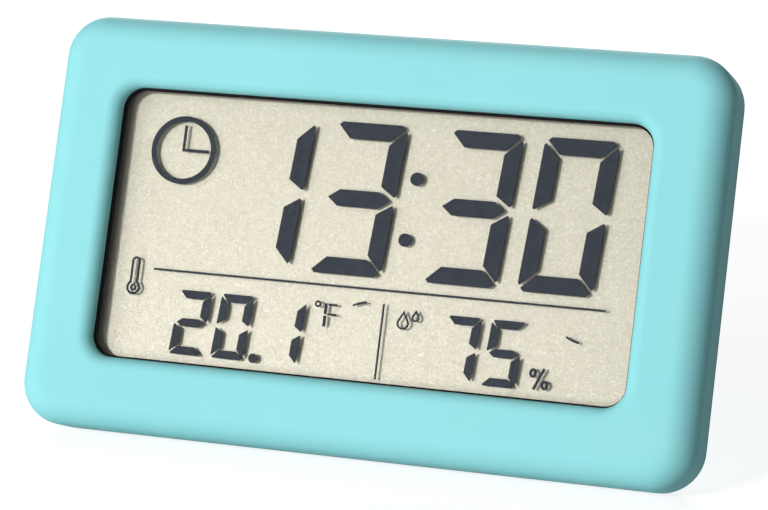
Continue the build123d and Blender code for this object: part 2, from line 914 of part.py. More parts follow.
def leg_pocket_space():
    side = leg_pocket_half_width
    outline = span(-side, side, leg_pocket_foot, leg_pocket_top)
    pin_span = 2 * (leg_half_width + leg_side_gap + leg_pin_reach + leg_side_gap)
    bore = rod(0, leg_axis_depth, leg_axis_height, leg_pin_radius + leg_pin_clearance, pin_span)
    return prism(outline, leg_pocket_bottom, case_depth + cut_overrun) + bore


def keyhole_outline(growth):
    """Round entry with a slot above it, grown all round."""
    entry = disc(0, keyhole_height, keyhole_radius + growth)
    half = keyhole_slot_half + growth
    slot = span(-half, half, keyhole_height, keyhole_height + keyhole_rise)
    return entry + slot + disc(0, keyhole_height + keyhole_rise, half)


def keyhole_room(growth):
    """Room behind the wall in which the hanging screw's head slides up."""
    side = keyhole_radius + keyhole_head_room + growth
    high = keyhole_height + keyhole_rise + side
    return soft_span(-side, side, keyhole_height - side, high, keyhole_slot_half)


def door_recess_outline():
    side = door_half_width + door_side_gap
    low = door_axis_height - door_plate_reach - door_swing_gap
    return span(cell_place - side, cell_place + side, low, door_top + door_side_gap)


def door_hinge_block():
    """Trough wall behind the door's hinge, with room for the barrel."""
    side = door_block_half
    low = door_axis_height - door_plate_reach - door_swing_gap - door_hinge_wall
    high = door_axis_height + door_barrel_radius + door_hinge_gap + door_hinge_wall
    front = door_axis_depth - door_barrel_radius - door_hinge_gap - door_hinge_wall
    return prism(span(cell_place - side, cell_place + side, low, high), front, cover_inner + seam_groove)


def door_hinge_space():
    side = door_half_width + door_side_gap
    low = door_axis_height - door_plate_reach - door_swing_gap
    high = door_axis_height + door_barrel_radius + door_hinge_gap
    front = door_axis_depth - door_barrel_radius - door_hinge_gap
    trough = prism(span(cell_place - side, cell_place + side, low, high), front, case_depth + cut_overrun)
    pin_span = 2 * (door_half_width + door_side_gap + door_pin_reach + door_side_gap)
    bore = rod(cell_place, door_axis_depth, door_axis_height, door_pin_radius + door_pin_clearance, pin_span)
    return trough + bore


def make_rear_cover():
    """Rear cover: tray with tongue, leg pocket, keyhole, cell well, air slots and button holes."""
    cover = case_body() & prism(case_outline(-cut_overrun), seam_depth, case_depth + cut_overrun)
    cover = cover - prism(case_outline(cover_wall_inset), seam_depth - cut_overrun, cover_inner)
    tongue_front = seam_depth - tongue_length
    tongue = prism(case_outline(shell_wall + tongue_clearance), tongue_front, seam_depth + seam_groove)
    cover = cover + (tongue - prism(case_outline(cover_wall_inset), tongue_front, case_depth))

    room_wall = keyhole_room_front - keyhole_pocket_wall
    inside = prism(case_outline(shell_wall + tongue_clearance), front_wall, case_depth - cut_overrun)
    keyhole_block = prism(keyhole_room(keyhole_pocket_wall), room_wall, cover_inner + seam_groove)
    well = disc(cell_place, cell_height, well_outer)
    well_block = prism(well, well_bottom - well_floor, cover_inner + seam_groove)
    for block in (keyhole_block, leg_pocket_block(), door_hinge_block(), well_block):
        cover = cover + (block & inside)
    for place, level in case_screw_places():
        post = prism(disc(place, level, cover_post_radius), seam_depth, cover_inner + seam_groove)
        cover = cover + (post & prism(case_outline(shell_wall), seam_depth, case_depth))

    cover = cover - prism(keyhole_room(0), keyhole_room_front, cover_inner)
    cover = cover - prism(keyhole_outline(0), keyhole_room_front, case_depth + cut_overrun)
    cover = cover - leg_pocket_space()
    cover = cover - door_hinge_space()
    cover = cover - prism(door_recess_outline(), door_seat, case_depth + cut_overrun)
    dish = disc(cell_place, door_top, door_notch_dish)
    cover = cover - prism(dish, case_depth - door_dish_depth, case_depth + cut_overrun)
    cover = cover - prism(disc(cell_place, cell_height, well_radius), well_bottom, case_depth)
    cover = cover - contact_slots()
    for level in button_levels.values():
        hole = disc(button_place, level, button_radius + button_hole_clearance)
        cover = cover - prism(hole, seam_depth, case_depth + cut_overrun)
    for slot in vent_outlines():
        cover = cover - prism(slot, seam_depth, case_depth + cut_overrun)
    for place, level in case_screw_places():
        shank = disc(place, level, screw_radius + screw_hole_clearance)
        head = disc(place, level, screw_head_radius + counterbore_clearance)
        cover = cover - prism(shank, seam_depth - cut_overrun, case_depth)
        cover = cover - prism(head, case_depth - counterbore_depth, case_depth + cut_overrun)
    head_top = board_back + screw_head_height + board_screw_head_gap
    for place, level in board_screw_places():
        head = disc(place, level, screw_head_radius + counterbore_clearance)
        cover = cover - prism(head, board_back, head_top)
    return cover


def contact_slots():
    """Slots in the well's wall through which the two contacts reach the cell."""
    half = leaf_width / 2 + leaf_slot_clearance
    wall_left = cell_place - well_outer - well_clearance
    leaf = span(wall_left, cell_place - cell_radius, cell_height - half, cell_height + half)
    leaf_slot = prism(leaf, well_bottom, board_back + leaf_thickness + leaf_slot_clearance)
    side = side_contact_width / 2 + leaf_slot_clearance
    low = cell_height + cell_radius - well_clearance
    strip = span(cell_place - side, cell_place + side, low, cell_height + well_outer + well_clearance)
    return leaf_slot + prism(strip, board_back - leaf_slot_clearance, door_seat - door_seat_gap)


def vent_outlines():
    """Upright air slots in a row, with round ends."""
    middle = case_height - vent_below_top
    outlines = []
    for index in range(vent_count):
        place = wing_middle + (index - (vent_count - 1) / 2) * vent_pitch
        half = vent_height / 2 - vent_width / 2
        bar = span(place - vent_width / 2, place + vent_width / 2, middle - half, middle + half)
        ends = disc(place, middle - half, vent_width / 2) + disc(place, middle + half, vent_width / 2)
        outlines.append(bar + ends)
    return outlines


def make_battery_door():
    """Flush door on two pins at its lower edge, with a finger notch at the top."""
    left = cell_place - door_half_width
    right = cell_place + door_half_width
    plate = prism(span(left, right, door_axis_height, door_top), door_inner, case_depth)
    corners = plate.edges().filter_by(Axis.Y).group_by(Axis.Z)[-1]
    plate = fillet(corners, door_corner_radius)
    barrel = rod(cell_place, door_axis_depth, door_axis_height, door_barrel_radius, 2 * door_half_width)
    pin_span = 2 * (door_half_width + door_side_gap + door_pin_reach)
    pins = rod(cell_place, door_axis_depth, door_axis_height, door_pin_radius, pin_span)
    notch = disc(cell_place, door_top, door_notch_radius)
    return plate + barrel + pins - prism(notch, door_inner - cut_overrun, case_depth + cut_overrun)


def make_folded_leg():
    """Leg folded flat: tapered plate, hinge barrel with pins, heel that meets the stop."""
    top = leg_axis_height + leg_heel
    foot = leg_axis_height - leg_length
    shoulder = leg_axis_height - leg_barrel_radius
    front = leg_axis_depth - leg_half_thickness
    back = leg_axis_depth + leg_half_thickness
    half = leg_half_width
    narrow = leg_foot_half_width
    left_side = [(-half, top), (-half, shoulder), (-narrow, foot)]
    right_side = [(narrow, foot), (half, shoulder), (half, top)]
    plate = prism(Polygon(*left_side, *right_side, align=None), front, back)
    panel_half = narrow - leg_panel_margin
    panel_low = foot + 2 * leg_panel_margin
    panel_high = shoulder - leg_panel_margin
    panel = soft_span(-panel_half, panel_half, panel_low, panel_high, min(leg_corner_radius, panel_half) / 2)
    plate = plate - prism(panel, back - leg_panel_depth, back + cut_overrun)
    for index in range(leg_ridge_count):
        level = foot + leg_half_thickness + index * leg_ridge_pitch
        ridge = span(-panel_half, panel_half, level, level + leg_ridge_width)
        plate = plate + prism(ridge, back - leg_ridge_width, back + leg_ridge_height)
    toe = rod(0, leg_axis_depth, foot, leg_half_thickness, 2 * narrow)
    barrel = rod(0, leg_axis_depth, leg_axis_height, leg_barrel_radius, 2 * half)
    pin_span = 2 * (half + leg_side_gap + leg_pin_reach)
    pins = rod(0, leg_axis_depth, leg_axis_height, leg_pin_radius, pin_span)
    return plate + toe + barrel + pins


def make_stand_leg():
    """The leg swung out to its stop, as it stands."""
    hinge = Pos(0, leg_axis_depth, leg_axis_height)
    return hinge * Rot(leg_angle, 0, 0) * hinge.inverse() * make_folded_leg()


def make_screw(place, level, seat, length):
    """Pan-head screw with a cross slot, its head towards the back."""
    head = prism(disc(place, level, screw_head_radius), seat, seat + screw_head_height)
    head = fillet(head.faces().sort_by(Axis.Y)[-1].edges(), driver_slot_width)
    half_length = driver_slot_length / 2
    half_width_slot = driver_slot_width / 2
    flat = span(place - half_length, place + half_length, level - half_width_slot, level + half_width_slot)
    upright = span(place - half_width_slot, place + half_width_slot, level - half_length, level + half_length)
    top = seat + screw_head_height
    head = head - prism(flat + upright, top - driver_slot_depth, top + cut_overrun)
    return head + prism(disc(place, level, screw_radius), seat - length, seat + driver_slot_width)


def make_case_screws():
    seat = case_depth - counterbore_depth
    return [make_screw(place, level, seat, case_screw_length) for place, level in case_screw_places()]


def make_board_screws():
    return [make_screw(place, level, board_back, board_screw_length) for place, level in board_screw_places()]


def all_nodes():
    """Every node of the clock by name, in the upright case."""
    nodes = {
        "front_bezel": make_front_bezel(),
        "window_lens": make_window_lens(),
        "display_gasket": make_display_gasket(),
        "lcd_front_polariser": prism(film_outline(), gasket_back, front_polariser_back),
        "lcd_front_glass": prism(glass_outline(0, front_glass_foot), front_polariser_back, front_glass_back),
        "lcd_seal": make_lcd_seal(),
        "lcd_time_segments": make_time_segments(),
        "lcd_temperature_segments": make_temperature_segments(),
        "lcd_humidity_segments": make_humidity_segments(),
        "lcd_icons": make_lcd_icons(),
        "lcd_rear_glass": prism(glass_outline(0, rear_glass_foot), cell_back, rear_glass_back),
        "lcd_rear_polariser": prism(film_outline(), rear_glass_back, rear_polariser_back),
        "lcd_reflector": prism(film_outline(), rear_polariser_back, reflector_back),
        "zebra_connector": make_zebra_connector(),
        "backing_foam": make_backing_foam(),
        "circuit_board": make_circuit_board(),
        "chip_blob": make_chip_blob(),
        "clock_crystal": make_clock_crystal(),
        "chip_components": make_chip_components(),
        "button_switches": make_button_switches(),
        "humidity_sensor": make_humidity_sensor(),
        "thermistor": make_thermistor(),
        "coin_cell": make_coin_cell(),
        "negative_contact": make_negative_contact(),
        "positive_contact": make_positive_contact(),
        "rear_cover": make_rear_cover(),
        "battery_door": make_battery_door(),
        "stand_leg": make_stand_leg(),
        "case_screws": make_case_screws(),
        "board_screws": make_board_screws(),
    }
    for name, level in button_levels.items():
        nodes[name + "_button_cap"] = make_button_cap(level)
        nodes[name + "_switch_plunger"] = make_switch_plunger(level)
    return nodes


def stand_up(piece):
    """Lean a piece back with the case and set the clock on the floor about its middle."""
    solids = piece if isinstance(piece, list) else [piece]
    placed = Pos(0, -middle_back, -floor_drop) * Rot(-lean_angle, 0, 0)
    moved = [placed * solid for solid in solids]
    return moved[0] if len(moved) == 1 else Compound(children=moved)


if __name__ == "__main__":
    os.makedirs("parts", exist_ok=True)
    for node_name, node_piece in all_nodes().items():
        export_step(stand_up(node_piece), os.path.join("parts", node_name + ".step"))
        print("wrote", node_name)
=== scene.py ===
import json
import math

import bmesh
import bpy
import numpy as np
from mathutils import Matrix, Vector


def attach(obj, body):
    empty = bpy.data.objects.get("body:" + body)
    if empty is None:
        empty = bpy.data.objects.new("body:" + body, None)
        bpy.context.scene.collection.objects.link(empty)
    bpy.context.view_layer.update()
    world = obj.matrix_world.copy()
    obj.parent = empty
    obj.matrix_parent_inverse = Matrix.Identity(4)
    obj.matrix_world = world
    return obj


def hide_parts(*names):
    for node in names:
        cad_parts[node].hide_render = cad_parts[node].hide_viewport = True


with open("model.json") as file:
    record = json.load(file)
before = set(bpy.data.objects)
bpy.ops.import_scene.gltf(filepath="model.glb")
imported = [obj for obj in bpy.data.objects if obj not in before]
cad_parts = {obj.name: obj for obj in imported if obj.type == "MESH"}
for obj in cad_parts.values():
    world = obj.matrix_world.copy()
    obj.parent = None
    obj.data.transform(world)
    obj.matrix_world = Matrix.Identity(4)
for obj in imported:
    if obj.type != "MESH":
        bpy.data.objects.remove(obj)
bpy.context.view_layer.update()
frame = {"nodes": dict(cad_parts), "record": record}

cadNodes = frame["nodes"]
scene = bpy.context.scene
print("stage: frame loaded,", len(cadNodes), "nodes")

# The clock is drawn upright (x to the right, depth from the front face, height from the lower side)
# and then leaned back, so every new piece goes through leanBack.
stance = {
    "lean": math.radians(22.5),
    "middleBack": 0.0167944,        # the footprint's middle, behind the front face's lower edge
    "floorDrop": -0.0036725,        # the floor's level, measured from that edge
}
leanCos, leanSin = math.cos(stance["lean"]), math.sin(stance["lean"])

caseSize = {
    "width": 0.096,
    "height": 0.058,
    "frameWidth": 0.010,            # from the case's side to the window's
}
halfWidth, halfHeight = caseSize["width"] / 2, caseSize["height"] / 2


def leanBack(upright):
    # a turn about x by the lean: back = depth cos + height sin, up = height cos - depth sin,
    # then the shift to the footprint's middle and to the floor
    placed = np.empty_like(upright)
    placed[..., 0] = upright[..., 0]
    placed[..., 1] = upright[..., 1] * leanCos + upright[..., 2] * leanSin - stance["middleBack"]
    placed[..., 2] = upright[..., 2] * leanCos - upright[..., 1] * leanSin - stance["floorDrop"]
    return placed


# new surfaces are merged and sharpened by these values, and copies of the frame's nodes by the second set
sweptMesh = {"merge": 1e-7, "sharp": math.radians(35.0), "smallestRadius": 1e-6}
copiedMesh = {"merge": 2e-7, "flat": math.radians(0.6), "sharp": math.radians(32.0), "roundSteps": 2}


def gridPiece(name, points, closeRows=True):
    # quads between neighbouring rows of a point grid: each row closes on itself,
    # and the last row may meet the first
    rows, columns = points.shape[:2]
    index = np.arange(rows * columns).reshape(rows, columns)
    rowSteps = np.arange(rows if closeRows else rows - 1)
    row, column = np.meshgrid(rowSteps, np.arange(columns), indexing="ij")
    nextRow, nextColumn = (row + 1) % rows, (column + 1) % columns
    around = ((row, column), (row, nextColumn), (nextRow, nextColumn), (nextRow, column))
    quads = np.stack([index[corner] for corner in around], -1).reshape(-1, 4)
    mesh = bpy.data.meshes.new(name)
    mesh.from_pydata(leanBack(points).reshape(-1, 3).tolist(), [], quads.tolist())
    mesh.update()
    return finishPiece(name, mesh)


def finishPiece(name, mesh):
    # doubles merged, faces outward, smooth shading with the sharp edges kept
    work = bmesh.new()
    work.from_mesh(mesh)
    bmesh.ops.remove_doubles(work, verts=work.verts, dist=sweptMesh["merge"])
    bmesh.ops.recalc_face_normals(work, faces=work.faces)
    work.to_mesh(mesh)
    work.free()
    mesh.shade_smooth()
    mesh.set_sharp_from_angle(angle=sweptMesh["sharp"])
    piece = bpy.data.objects.new(name, mesh)
    scene.collection.objects.link(piece)
    return piece


def flattenFaces(piece):
    # large flat faces keep their own normal beside the rounded edges
    weighted = piece.modifiers.new("flatFaces", "WEIGHTED_NORMAL")
    weighted.keep_sharp = True


def roundedRings(halfWide, halfHigh, radius, cornerSteps=14, sideSteps=22):
    # one rounded rectangle per entry: each quarter is its corner's centre + radius (cos t, sin t),
    # and the sides are straight blends between the quarters
    halfWide, halfHigh, radius = (np.asarray(v, float).reshape(-1, 1) for v in (halfWide, halfHigh, radius))
    arcs = []
    for quarter, (toRight, toTop) in enumerate(((1, 1), (-1, 1), (-1, -1), (1, -1))):
        t = np.linspace(0, math.pi / 2, cornerSteps + 1)[None, :] + quarter * math.pi / 2
        across = toRight * (halfWide - radius) + radius * np.cos(t)
        along = toTop * (halfHigh - radius) + radius * np.sin(t)
        arcs.append(np.stack([across, along], -1))
    share = np.linspace(0, 1, sideSteps + 1)[1:-1][None, :, None]
    parts = []
    for quarter in range(4):
        end, start = arcs[quarter][:, -1:, :], arcs[(quarter + 1) % 4][:, :1, :]
        parts += [arcs[quarter], end + (start - end) * share]
    return np.concatenate(parts, axis=1)


def arcRun(centre, radius, fromAngle, toAngle, steps):
    # an arc's points in a section, without the first: (inset, depth) = centre + radius (cos t, sin t)
    t = np.radians(np.linspace(fromAngle, toAngle, steps + 1))[1:]
    return np.stack([centre[0] + radius * np.cos(t), centre[1] + radius * np.sin(t)], -1)


def ringPiece(name, rings, depth, middle):
    # a closed section carried round rounded rectangles: each ring lies at its own depth,
    # and its height is measured from the middle
    points = np.empty(rings.shape[:2] + (3,))
    points[..., 0] = rings[..., 0]
    points[..., 1] = depth[:, None]
    points[..., 2] = rings[..., 1] + middle
    return gridPiece(name, points)


def turnedPiece(name, place, profile, steps):
    # a profile of (radius, depth) spun about an axis along the case's depth:
    # x = place + radius cos t, height = level + radius sin t
    t = np.linspace(0, 2 * math.pi, steps, endpoint=False)
    profile = np.asarray(profile, float)
    radius = np.maximum(profile[:, 0:1], sweptMesh["smallestRadius"])
    points = np.empty((len(profile), steps, 3))
    points[..., 0] = place[0] + radius * np.cos(t)
    points[..., 1] = profile[:, 1:2]
    points[..., 2] = place[1] + radius * np.sin(t)
    return gridPiece(name, points, closeRows=False)


def softCopy(node, name, edge):
    # a merged copy of a node's mesh, whose hard edges get a round of the given width
    work = bmesh.new()
    work.from_mesh(cadNodes[node].data)
    bmesh.ops.remove_doubles(work, verts=work.verts, dist=copiedMesh["merge"])
    bmesh.ops.dissolve_limit(work, angle_limit=copiedMesh["flat"], verts=work.verts, edges=work.edges)
    mesh = bpy.data.meshes.new(name)
    work.to_mesh(mesh)
    work.free()
    mesh.shade_smooth()
    mesh.set_sharp_from_angle(angle=copiedMesh["sharp"])
    piece = bpy.data.objects.new(name, mesh)
    scene.collection.objects.link(piece)
    if edge > 0:
        bevel = piece.modifiers.new("fineRound", "BEVEL")
        bevel.width = edge
        bevel.segments = copiedMesh["roundSteps"]
        bevel.limit_method = "ANGLE"
        bevel.angle_limit = copiedMesh["sharp"]
        bevel.use_clamp_overlap = True
        bevel.harden_normals = True
    flattenFaces(piece)
    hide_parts(node)
    return piece


def dress(piece, body, material):
    # gives a new piece its material and the body that it moves with
    piece.data.materials.clear()
    piece.data.materials.append(material)
    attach(piece, body)
    return piece


def addNode(tree, kind, values=None, **settings):
    # a node with its own settings and the values of its inputs
    node = tree.nodes.new(kind)
    for key, value in settings.items():
        setattr(node, key, value)
    for key, value in (values or {}).items():
        node.inputs[key].default_value = value
    return node


def addPattern(tree, kind, vector, values, **settings):
    # a texture node that reads the given coordinates
    node = addNode(tree, kind, values, **settings)
    tree.links.new(vector, node.inputs["Vector"])
    return node


def newGroup(name, inputs, outputs):
    # an empty shader group with named sockets, its entry and its result
    group = bpy.data.node_groups.new(name, "ShaderNodeTree")
    group.interface.new_socket(name="Vector", in_out="INPUT", socket_type="NodeSocketVector")
    for label, value in inputs.items():
        socket = group.interface.new_socket(name=label, in_out="INPUT", socket_type="NodeSocketFloat")
        socket.default_value = value
    for label, kind in outputs.items():
        group.interface.new_socket(name=label, in_out="OUTPUT", socket_type=kind)
    return group, group.nodes.new("NodeGroupInput"), group.nodes.new("NodeGroupOutput")


def mathNode(tree, operation, first, second=None, third=None, clamp=False):
    # a sum on up to three values, each a number or another node's output
    node = addNode(tree, "ShaderNodeMath", operation=operation, use_clamp=clamp)
    for socket, value in zip(node.inputs, (first, second, third)):
        if isinstance(value, (int, float)):
            socket.default_value = value
        elif value is not None:
            tree.links.new(value, socket)
    return node.outputs[0]


def weighedSum(tree, first, firstShare, second, secondShare):
    # first times its share plus second times its share
    rest = mathNode(tree, "MULTIPLY", second, secondShare)
    return mathNode(tree, "MULTIPLY_ADD", first, firstShare, rest)


def mixColor(tree, factor, first, second):
    # first blended into second by the factor; each is a plain colour or another node's output
    node = addNode(tree, "ShaderNodeMix", data_type="RGBA", clamp_result=True)
    for socket, value in ((node.inputs[0], factor), (node.inputs[6], first), (node.inputs[7], second)):
        if isinstance(value, tuple):
            socket.default_value = value + (1,)
        else:
            tree.links.new(value, socket)
    return node.outputs[2]


def rangeNode(tree, value, source, target=(0.0, 1.0)):
    # the value's source range carried over to the target range
    node = tree.nodes.new("ShaderNodeMapRange")
    tree.links.new(value, node.inputs[0])
    for index, number in enumerate(source + target):
        node.inputs[index + 1].default_value = number
    return node.outputs[0]


# moulded grain: height = fine noise and smooth cell distance by their shares,
# tone = slow noise over the part
grainPattern = {
    "fine": {"Detail": 3.0, "Roughness": 0.6},
    "slow": {"Detail": 4.0, "Roughness": 0.55},
    "fineShare": 0.55,
    "cellShare": 0.45,
    "cellScale": 0.7,
    "tone": (0.3, 0.7),
}


def buildMouldedGrain(look):
    group, entry, result = newGroup(
        "mouldedGrain",
        {"Grain": 5200.0, "Drift": 45.0},
        {"Height": "NodeSocketFloat", "Tone": "NodeSocketFloat"},
    )
    vector = entry.outputs["Vector"]
    fine = addPattern(group, "ShaderNodeTexNoise", vector, look["fine"])
    cells = addPattern(group, "ShaderNodeTexVoronoi", vector, {}, feature="SMOOTH_F1")
    slow = addPattern(group, "ShaderNodeTexNoise", vector, look["slow"])
    grain = entry.outputs["Grain"]
    group.links.new(grain, fine.inputs["Scale"])
    group.links.new(mathNode(group, "MULTIPLY", grain, look["cellScale"]), cells.inputs["Scale"])
    group.links.new(entry.outputs["Drift"], slow.inputs["Scale"])
    distance = cells.outputs["Distance"]
    height = weighedSum(group, fine.outputs[0], look["fineShare"], distance, look["cellShare"])
    group.links.new(height, result.inputs["Height"])
    group.links.new(rangeNode(group, slow.outputs[0], look["tone"]), result.inputs["Tone"])
    return group


# rubbed edge: mask = how far the rounded normal turns from the true one, broken up by noise
rubPattern = {
    "radius": 0.00028,
    "samples": 4,
    "patches": {"Scale": 900.0, "Detail": 3.0},
    "turn": (0.02, 0.2),
    "patchRange": (0.35, 0.7),
    "patchShare": (0.15, 1.0),
}


def buildRubbedEdge(look):
    group, entry, result = newGroup(
        "rubbedEdge",
        {"Gain": 1.0},
        {"Mask": "NodeSocketFloat", "Normal": "NodeSocketVector"},
    )
    rounded = addNode(group, "ShaderNodeBevel", {"Radius": look["radius"]}, samples=look["samples"])
    geometry = group.nodes.new("ShaderNodeNewGeometry")
    dot = addNode(group, "ShaderNodeVectorMath", operation="DOT_PRODUCT")
    group.links.new(rounded.outputs[0], dot.inputs[0])
    group.links.new(geometry.outputs["Normal"], dot.inputs[1])
    turn = mathNode(group, "SUBTRACT", 1.0, dot.outputs["Value"])
    patchy = addPattern(group, "ShaderNodeTexNoise", entry.outputs["Vector"], look["patches"])
    patches = rangeNode(group, patchy.outputs[0], look["patchRange"], look["patchShare"])
    worn = mathNode(group, "MULTIPLY", rangeNode(group, turn, look["turn"]), patches)
    mask = mathNode(group, "MULTIPLY", worn, entry.outputs["Gain"], clamp=True)
    group.links.new(mask, result.inputs["Mask"])
    group.links.new(rounded.outputs[0], result.inputs["Normal"])
    return group


# settled dust: mask = upward facing share of the normal times cloudy noise
dustPattern = {
    "clouds": {"Scale": 160.0, "Detail": 5.0, "Roughness": 0.65},
    "upward": (0.35, 1.0),
    "cloudRange": (0.4, 0.75),
}


def buildSettledDust(look):
    group, entry, result = newGroup("settledDust", {"Amount": 0.1}, {"Mask": "NodeSocketFloat"})
    geometry = group.nodes.new("ShaderNodeNewGeometry")
    split = group.nodes.new("ShaderNodeSeparateXYZ")
    group.links.new(geometry.outputs["Normal"], split.inputs[0])
    clouds = addPattern(group, "ShaderNodeTexNoise", entry.outputs["Vector"], look["clouds"])
    upward = rangeNode(group, split.outputs[2], look["upward"])
    mask = mathNode(group, "MULTIPLY", upward, rangeNode(group, clouds.outputs[0], look["cloudRange"]))
    mask = mathNode(group, "MULTIPLY", mask, entry.outputs["Amount"], clamp=True)
    group.links.new(mask, result.inputs["Mask"])
    return group


# brushed lines: height = noise stretched along one direction,
# shine = that noise and broad noise by their shares
brushPattern = {
    "stretch": (0.03, 1.0, 1.0),
    "lines": {"Detail": 4.0, "Roughness": 0.7},
    "broad": {"Scale": 240.0, "Detail": 3.0},
    "lineShare": 0.6,
    "broadShare": 0.4,
}


def buildBrushedLines(look):
    group, entry, result = newGroup(
        "brushedLines",
        {"Lines": 9000.0},
        {"Height": "NodeSocketFloat", "Shine": "NodeSocketFloat"},
    )
    vector = entry.outputs["Vector"]
    stretch = addPattern(group, "ShaderNodeMapping", vector, {"Scale": look["stretch"]})
    lines = addPattern(group, "ShaderNodeTexNoise", stretch.outputs[0], look["lines"])
    group.links.new(entry.outputs["Lines"], lines.inputs["Scale"])
    broad = addPattern(group, "ShaderNodeTexNoise", vector, look["broad"])
    group.links.new(lines.outputs[0], result.inputs["Height"])
    shine = weighedSum(group, lines.outputs[0], look["lineShare"], broad.outputs[0], look["broadShare"])
    group.links.new(shine, result.inputs["Shine"])
    return group


mouldedGrain = buildMouldedGrain(grainPattern)
rubbedEdge = buildRubbedEdge(rubPattern)
settledDust = buildSettledDust(dustPattern)
brushedLines = buildBrushedLines(brushPattern)


def startMaterial(name, look):
    # a Principled surface whose plain numbers sit on its own sockets, and the object's coordinates
    material = bpy.data.materials.new(name)
    material.use_nodes = True
    tree = material.node_tree
    tree.nodes.clear()
    output = tree.nodes.new("ShaderNodeOutputMaterial")
    values = {"Roughness": look["roughness"], **look.get("plain", {})}
    surface = addNode(tree, "ShaderNodeBsdfPrincipled", values)
    tree.links.new(surface.outputs[0], output.inputs["Surface"])
    coordinates = tree.nodes.new("ShaderNodeTexCoord")
    return material, tree, surface, coordinates.outputs["Object"]


def placeGroup(tree, group, vector, values):
    # a shader group placed in a material, with this material's own values
    node = tree.nodes.new("ShaderNodeGroup")
    node.node_tree = group
    tree.links.new(vector, node.inputs["Vector"])
    for key, value in values.items():
        node.inputs[key].default_value = value
    return node


def addBump(tree, surface, height, strength, distance, normal=None):
    # relief from a height, on top of a given normal where there is one
    bump = addNode(tree, "ShaderNodeBump", {"Strength": strength, "Distance": distance})
    tree.links.new(height, bump.inputs["Height"])
    if normal is not None:
        tree.links.new(normal, bump.inputs["Normal"])
    tree.links.new(bump.outputs[0], surface.inputs["Normal"])


# matt moulded plastic: colour = base, drifting to a near tone by slow noise, paler on rubbed edges
# and under dust; roughness = its own level plus a share of the grain, less on rubbed edges;
# relief = the grain
def mouldedPlastic(name, look):
    material, tree, surface, vector = startMaterial(name, look)
    grain = placeGroup(tree, mouldedGrain, vector, {"Grain": look["grain"], "Drift": look["drift"]})
    worn = placeGroup(tree, rubbedEdge, vector, {"Gain": look["rub"]})
    dust = placeGroup(tree, settledDust, vector, {"Amount": look["dust"]})
    color = mixColor(tree, grain.outputs["Tone"], look["color"], look["drifted"])
    color = mixColor(tree, worn.outputs["Mask"], color, look["rubbed"])
    color = mixColor(tree, dust.outputs["Mask"], color, look["dustColor"])
    tree.links.new(color, surface.inputs["Base Color"])
    low, high = look["roughness"] - look["roughSpread"], look["roughness"] + look["roughSpread"]
    height = grain.outputs["Height"]
    rough = rangeNode(tree, height, look["grainRange"], (low, high))
    rough = mathNode(tree, "MULTIPLY_ADD", worn.outputs["Mask"], -look["rubShine"], rough, clamp=True)
    tree.links.new(rough, surface.inputs["Roughness"])
    addBump(tree, surface, height, look["relief"], look["reliefDepth"], worn.outputs["Normal"])
    return material


shellLook = {
    "color": (0.268, 0.672, 0.702),
    "drifted": (0.288, 0.694, 0.722),
    "rubbed": (0.30, 0.73, 0.75),
    "dustColor": (0.62, 0.60, 0.56),
    "roughness": 0.58,
    "roughSpread": 0.05,
    "grain": 5200.0,
    "grainRange": (0.2, 0.8),
    "drift": 40.0,
    "relief": 0.40,
    "reliefDepth": 0.00003,
    "rub": 0.35,
    "rubShine": 0.12,
    "dust": 0.05,
    "plain": {"Specular IOR Level": 0.05},
}
detailLook = dict(
    shellLook,
    color=(0.255, 0.660, 0.692),
    drifted=(0.272, 0.680, 0.710),
    roughness=0.44,
    grain=6800.0,
    relief=0.16,
)
housingLook = dict(
    shellLook,
    color=(0.018, 0.018, 0.019),
    drifted=(0.026, 0.026, 0.027),
    rubbed=(0.06, 0.06, 0.06),
    roughness=0.42,
    rub=0.2,
)
plungerLook = dict(
    shellLook,
    color=(0.52, 0.045, 0.03),
    drifted=(0.56, 0.06, 0.04),
    rubbed=(0.7, 0.2, 0.15),
    roughness=0.38,
)
sensorLook = dict(
    shellLook,
    color=(0.78, 0.78, 0.75),
    drifted=(0.72, 0.72, 0.69),
    rubbed=(0.85, 0.85, 0.83),
    roughness=0.5,
)


# clear sheet: a low plain alpha lets light and shadow through; roughness = its level, between a smoother
# and a hazier share of it by faint wipe marks, which are noise stretched across the sheet
wipeMarks = {
    "stretch": (1.0, 0.25, 0.25),
    "noise": {"Detail": 4.0, "Roughness": 0.7},
    "range": (0.3, 0.75),
    "smoother": 0.7,
    "hazier": 1.5,
}


def clearSheet(name, look):
    material, tree, surface, vector = startMaterial(name, look)
    stretch = addPattern(tree, "ShaderNodeMapping", vector, {"Scale": wipeMarks["stretch"]})
    values = dict(wipeMarks["noise"], Scale=look["wipes"])
    wipes = addPattern(tree, "ShaderNodeTexNoise", stretch.outputs[0], values)
    limits = (look["roughness"] * wipeMarks["smoother"], look["roughness"] * wipeMarks["hazier"])
    rough = rangeNode(tree, wipes.outputs[0], wipeMarks["range"], limits)
    tree.links.new(rough, surface.inputs["Roughness"])
    return material


windowLook = {
    "roughness": 0.30,
    "wipes": 220.0,
    "plain": {"Base Color": (0.12, 0.14, 0.15, 1), "Alpha": 0.015, "Specular IOR Level": 0.2},
}
polariserLook = {
    "roughness": 0.5,
    "wipes": 500.0,
    "plain": {"Base Color": (0.10, 0.10, 0.09, 1), "Alpha": 0.008, "Specular IOR Level": 0.0},
}
glassLook = {
    "roughness": 0.4,
    "wipes": 300.0,
    "plain": {"Base Color": (0.10, 0.12, 0.11, 1), "Alpha": 0.006, "Specular IOR Level": 0.05},
}
